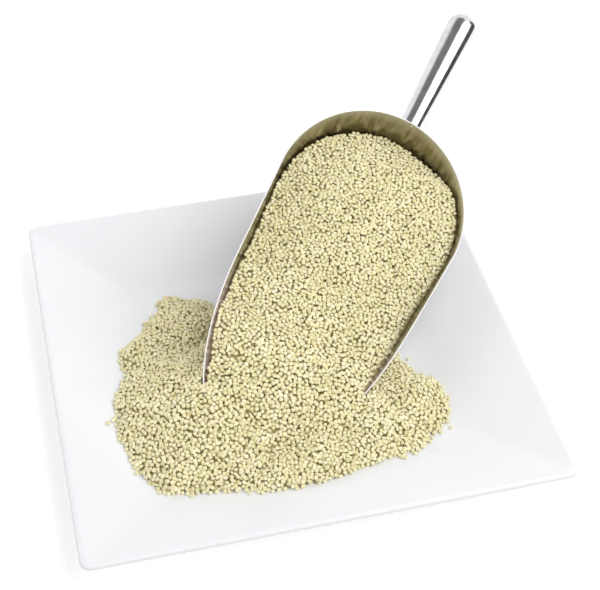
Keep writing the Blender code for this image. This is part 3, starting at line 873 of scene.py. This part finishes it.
def frames(normals, spin):
    """rotation matrices that take +Z to each normal, with a spin about it"""
    n = normals / np.linalg.norm(normals, axis=1, keepdims=True)
    ref = np.where(np.abs(n[:, :1]) < 0.8, np.array([[1.0, 0, 0]]), np.array([[0, 1.0, 0]]))
    a = np.cross(n, ref)
    a /= np.linalg.norm(a, axis=1, keepdims=True)
    b = np.cross(n, a)
    c, s = np.cos(spin)[:, None], np.sin(spin)[:, None]
    return np.stack([a * c + b * s, b * c - a * s, n], axis=-1)


def grain_piece(name, kind, centres, normals, mat):
    verts, tris, ring = grain_shape(kind)
    count = len(centres)
    size = GRAIN_R * np.clip(rng.normal(1.0, 0.085, count), 0.78, 1.20)
    sx = size * rng.uniform(0.95, 1.05, count)
    sy = size * rng.uniform(0.92, 1.04, count)
    sz = size * rng.uniform(0.86, 1.12, count)
    rot = frames(normals, rng.uniform(0, 2 * math.pi, count))
    local = verts[None] * np.stack([sx, sy, sz], -1)[:, None]
    world = np.einsum("nij,nkj->nki", rot, local) + centres[:, None]
    faces = (tris[None] + (np.arange(count) * len(verts))[:, None, None]).reshape(-1, 3)
    ob = mesh_object(name, world.reshape(-1, 3), None, [mat], tris=faces)
    x, y = centres[:, 0], centres[:, 1]
    drift = np.sin(x * 95 + 2.0 * np.sin(y * 60 + 0.8)) * np.sin(y * 105 + 1.2) + 0.6 * np.sin(x * 210 - y * 170 + 2.0)
    tone = np.clip(rng.normal(0.53, 0.20, count) + 0.10 * drift, 0, 1)
    add_attribute(ob, "tone", np.repeat(tone, len(verts)))
    add_attribute(ob, "ring", np.tile(ring, count))
    return ob


def build_cores(mat):
    """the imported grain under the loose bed, with its own grain-sized relief"""
    out = []
    # heap, as a grid over the dish
    step = 0.00088
    gx, gy = np.arange(-0.0860, 0.0700, step), np.arange(-0.0850, 0.0560, step)
    x, y = np.meshgrid(gx, gy, indexing="ij")
    top, floor = pressed(x, y, heap_z(x, y)), dish_top(x, y)
    rise = bumps(x, y, 1.7)
    # near the heap's foot the core lies as a thin sheet just over the dish; its dark colour there is painted shade
    # between the outer grains
    z = np.maximum(top - BED - 0.0010 + 0.0008 * rise, floor + 0.0003 + 0.0003 * rise)
    p = np.stack([x, y, z], -1)
    u, v, w = to_local(p)
    inside = in_scoop(p, -SKIN - 0.0012) & (w < fill_top(u, v) - BED - 0.0012)
    live = (top - floor > 0.0031 + ragged(x, y)) & ~inside
    out.append(core_piece("heap_core", p, live, rise, mat))
    # scoop's contents, as a grid along the scoop
    nu, ns = 196, 98
    u = np.linspace(0.0019, 0.1760, nu)[:, None] + np.zeros((1, ns))
    wl, wr, vl, vr = fill_edges(u, SKIN - 0.0003)
    v = vl + (vr - vl) * np.linspace(0, 1, ns)[None]
    rise = bumps(u, v, 4.1)
    w = fill_top(u, v) - BED - 0.0010 + 0.0008 * rise
    w = np.maximum(w, -depth(u, SKIN - 0.0003) + 0.0001)
    lim = wall_v(u, w, SKIN - 0.0003)
    p = to_world(u, np.clip(v, -lim, lim), w)
    hidden = p[..., 2] < heap_z(p[..., 0], p[..., 1]) - BED - 0.0022
    out.append(core_piece("fill_core", p, ~hidden, rise, mat))
    return out


def core_piece(name, p, live, rise, mat):
    rows, cols = live.shape
    quads = grid_quads(rows, cols)
    keep = live.reshape(-1)[quads].any(axis=1)
    quads = quads[keep]
    used = np.unique(quads)
    index = np.full(rows * cols, -1)
    index[used] = np.arange(len(used))
    verts = p.reshape(-1, 3)[used]
    quads = index[quads]
    a, b, c = verts[quads[:, 0]], verts[quads[:, 1]], verts[quads[:, 2]]
    if np.cross(b - a, c - a)[:, 2].sum() < 0:
        quads = quads[:, ::-1]
    ob = mesh_object(name, verts, quads, [mat])
    add_attribute(ob, "high", np.clip(rise.reshape(-1)[used], 0, 1))
    return ob


def strays():
    """single grains on the dish round the heap, thinning outwards"""
    xy = [(0.0549, -0.0155), (-0.0816, -0.0269), (0.0613, -0.0589)]
    x, y = rng.uniform(-0.095, 0.080, 60000), rng.uniform(-0.092, 0.062, 60000)
    gap = heap_z(x, y) - dish_top(x, y)          # below zero outside the heap
    chance = np.where(gap < 0.0004, np.exp(gap / 0.0007), 0) * 0.016
    pick = rng.random(60000) < chance
    for a, b in zip(x[pick], y[pick]):
        if all((a - c) ** 2 + (b - d) ** 2 > (2.0 * GRAIN_R) ** 2 for c, d in xy):
            xy.append((a, b))
    xy = np.array(xy)
    z = dish_top(xy[:, 0], xy[:, 1]) + GRAIN_R * GRAIN_H
    p = np.stack([xy[:, 0], xy[:, 1], z], -1)
    p = p[~in_scoop(p, 0.0016)]
    n = normal_of(lambda a, b: np.stack([a, b, dish_top(a, b)], -1), p[:, 0], p[:, 1])
    return p, n + rng.normal(0, 0.05, n.shape)


# ------------------------------------------------------------------ build it
white = porcelain()
sheet = brushed_steel()
bright = polished_steel()

dish = build_dish(white)
bowl = build_bowl(sheet)
grip = build_handle(bright)
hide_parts("dish")
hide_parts("scoop_bowl")
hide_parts("scoop_handle")
for ob, slot in ((dish, "porcelain"), (bowl, "steel"), (grip, "polished_steel")):
    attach(ob, "root")

cores = build_cores(core_material())
for ob in cores:
    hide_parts("quinoa")
    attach(ob, "root")

sites, surf, low, top, normals, on_dish = grain_sites()
placed = lay_grains(sites, low, top, LIMIT)
idx = np.array([i for i, _ in placed])
centres = np.column_stack([sites[idx], [z for _, z in placed]])
seen = ~out_of_sight(centres)
idx, centres = idx[seen], centres[seen]
lean = np.where(on_dish[idx] & (centres[:, 2] - low[idx] < 0.0002), 0.08, 0.42)
tilt = normals[idx] + rng.normal(0, 1, (len(idx), 3)) * lean[:, None]
edge_up = rng.random(len(idx)) < 0.07
tilt[edge_up] = rng.normal(0, 1, (edge_up.sum(), 3)) + normals[idx][edge_up] * 0.5
sp, sn = strays()
centres, tilt = np.vstack([centres, sp]), np.vstack([tilt, sn])

KINDS = (   # name, shape, share, dark, middle and pale tone
    ("grain_cream", 0, 0.20, (0.77, 0.70, 0.40), (0.89, 0.83, 0.53), (0.95, 0.91, 0.67)),
    ("grain_straw", 0, 0.20, (0.71, 0.63, 0.31), (0.83, 0.75, 0.40), (0.91, 0.85, 0.52)),
    ("grain_plump", 2, 0.20, (0.75, 0.67, 0.36), (0.87, 0.80, 0.475), (0.94, 0.89, 0.60)),
    ("grain_flat", 1, 0.20, (0.73, 0.66, 0.365), (0.86, 0.80, 0.495), (0.95, 0.91, 0.64)),
    ("grain_green", 0, 0.12, (0.65, 0.635, 0.285), (0.78, 0.76, 0.40), (0.86, 0.845, 0.51)),
    ("grain_rosy", 1, 0.08, (0.75, 0.62, 0.37), (0.85, 0.73, 0.46), (0.91, 0.82, 0.56)),
)
share = np.cumsum([k[2] for k in KINDS])
draw = np.searchsorted(share / share[-1], rng.random(len(centres)))
for k, (name, shape, _, dark, mid, pale) in enumerate(KINDS):
    mine = draw == k
    ob = grain_piece(name, shape, centres[mine], tilt[mine], grain_material(name, dark, mid, pale))
    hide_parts("quinoa")
    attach(ob, "root")
counts = {o.name: sum(len(q.vertices) - 2 for q in o.data.polygons) for o in bpy.data.objects if o.type == "MESH" and (o.name.startswith("grain_") or o.name.endswith("_core"))}
print("laid", len(placed), "grains", len(centres), "of them strays", len(sp), "triangles", sum(counts.values()), counts)

# ------------------------------------------------------------------ stage, light, camera
floor_mat, nt, bsdf = new_material("pale_floor")
bsdf.inputs["Base Color"].default_value = (0.93, 0.93, 0.93, 1)
bsdf.inputs["Roughness"].default_value = 0.9
bsdf.inputs["Emission Color"].default_value = (1, 1, 1, 1)
bsdf.inputs["Emission Strength"].default_value = 0.25
ground = mesh_object("floor", [(-4, -4, -0.0003), (4, -4, -0.0003), (4, 4, -0.0003), (-4, 4, -0.0003)], np.array([[0, 1, 2, 3]]), [floor_mat], smooth=False)

world = bpy.data.worlds.new("studio")
bpy.context.scene.world = world
world.use_nodes = True
wn = world.node_tree
tc = wn.nodes.new("ShaderNodeTexCoord")


def towards(direction, low, high):
    """0 to 1 as the sky's direction turns from low to high along the one given"""
    d = np.array(direction, float)
    d /= np.linalg.norm(d)
    dot = wn.nodes.new("ShaderNodeVectorMath")
    dot.operation = "DOT_PRODUCT"
    dot.inputs[1].default_value = d
    wn.links.new(tc.outputs["Generated"], dot.inputs[0])
    m = wn.nodes.new("ShaderNodeMapRange")
    m.interpolation_type = "SMOOTHSTEP"
    m.inputs["From Min"].default_value = low
    m.inputs["From Max"].default_value = high
    wn.links.new(dot.outputs["Value"], m.inputs["Value"])
    return m.outputs["Result"]


# a bright surround with a darker ceiling, and a dark gap low down on the right
sky = mix_color(wn, towards((-0.10, 0.22, 1.0), 0.76, 0.92), (1.25, 1.25, 1.26), (0.26, 0.26, 0.265))
sky = mix_color(wn, towards((0.96, -0.12, 0.26), 0.83, 0.92), sky, (0.08, 0.08, 0.08))
wn.links.new(sky, wn.nodes["Background"].inputs["Color"])
wn.nodes["Background"].inputs["Strength"].default_value = 0.88


def area(name, at, to, size, power, color=(1, 1, 1)):
    light = bpy.data.lights.new(name, "AREA")
    light.shape = "SQUARE"
    light.size = size
    light.energy = power
    light.color = color
    ob = bpy.data.objects.new(name, light)
    ob.location = at
    d = np.array(at) - np.array(to)
    d = d / np.linalg.norm(d)
    side = np.cross((0, 0, 1) if abs(d[2]) < 0.99 else (0, 1, 0), d)
    side /= np.linalg.norm(side)
    m = np.stack([side, np.cross(d, side), d], -1)
    from mathutils import Matrix
    ob.rotation_euler = Matrix(m.tolist()).to_euler()
    bpy.context.scene.collection.objects.link(ob)


area("key", (0.86, -0.30, 1.16), (0.03, 0.02, 0.03), 1.2, 11.6)

YAW, RISE, FAR = math.radians(-13.35), math.radians(44.11), 3.241 * SIDE
right = np.array([math.cos(YAW), math.sin(YAW), 0])
back = np.array([math.sin(YAW) * math.cos(RISE), -math.cos(YAW) * math.cos(RISE), math.sin(RISE)])
up = np.cross(back, right)
cam_data = bpy.data.cameras.new("camera")
cam_data.sensor_width = 36.0
cam_data.lens = 86.76
cam_data.clip_start = 0.01
cam = bpy.data.objects.new("camera", cam_data)
aim = np.array([0.072 * SIDE, 0.124 * SIDE, RIM_Z])
cam.location = aim + back * FAR
from mathutils import Matrix
cam.rotation_euler = Matrix(np.stack([right, up, back], -1).tolist()).to_euler()
bpy.context.scene.collection.objects.link(cam)
bpy.context.scene.camera = cam
bpy.context.scene.view_settings.view_transform = "Standard"
bpy.context.scene.view_settings.look = "None"
